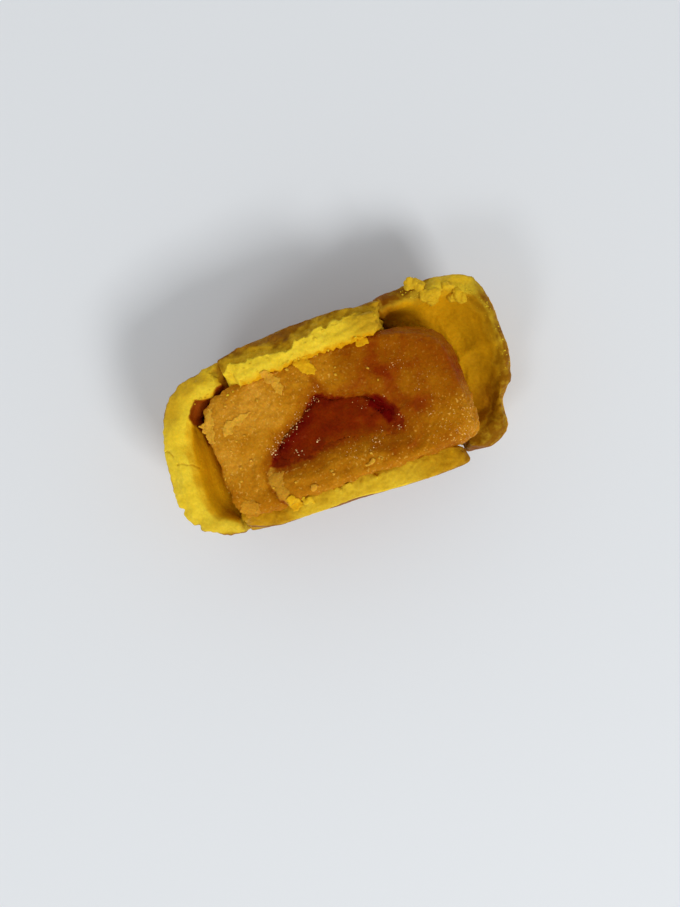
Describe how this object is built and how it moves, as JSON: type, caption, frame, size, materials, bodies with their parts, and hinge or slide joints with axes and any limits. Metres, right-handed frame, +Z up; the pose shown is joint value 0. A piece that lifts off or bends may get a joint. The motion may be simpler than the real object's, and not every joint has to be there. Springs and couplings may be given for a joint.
{
  "type": "mooncake",
  "caption": "Half of a square custard mooncake with its broken face up: cracked pastry crust round a block of custard filling with a sunken, soft dark core.",
  "frame": {"origin": "on the surface that the half cake stands on, under the middle of its bounding box", "axes": "+X along the half cake towards the end where the crust leans away, +Y towards the higher crust strip, +Z up out of the broken face"},
  "size_m": [0.0516, 0.0268, 0.0233],
  "materials": {
    "pastry_crust": "baked shortcrust pastry: dry, crumbly and yellow, browned on its outer skin",
    "custard_filling": "custard paste: tan and grainy where it broke, darker and moist at its smooth end",
    "soft_core": "molten custard core: wet, glossy and dark red"
  },
  "bodies": {
    "root": {"crust_left": "pastry_crust", "crust_trough": "pastry_crust", "crust_right": "pastry_crust", "filling": "custard_filling", "core": "soft_core"}
  },
  "joints": []
}
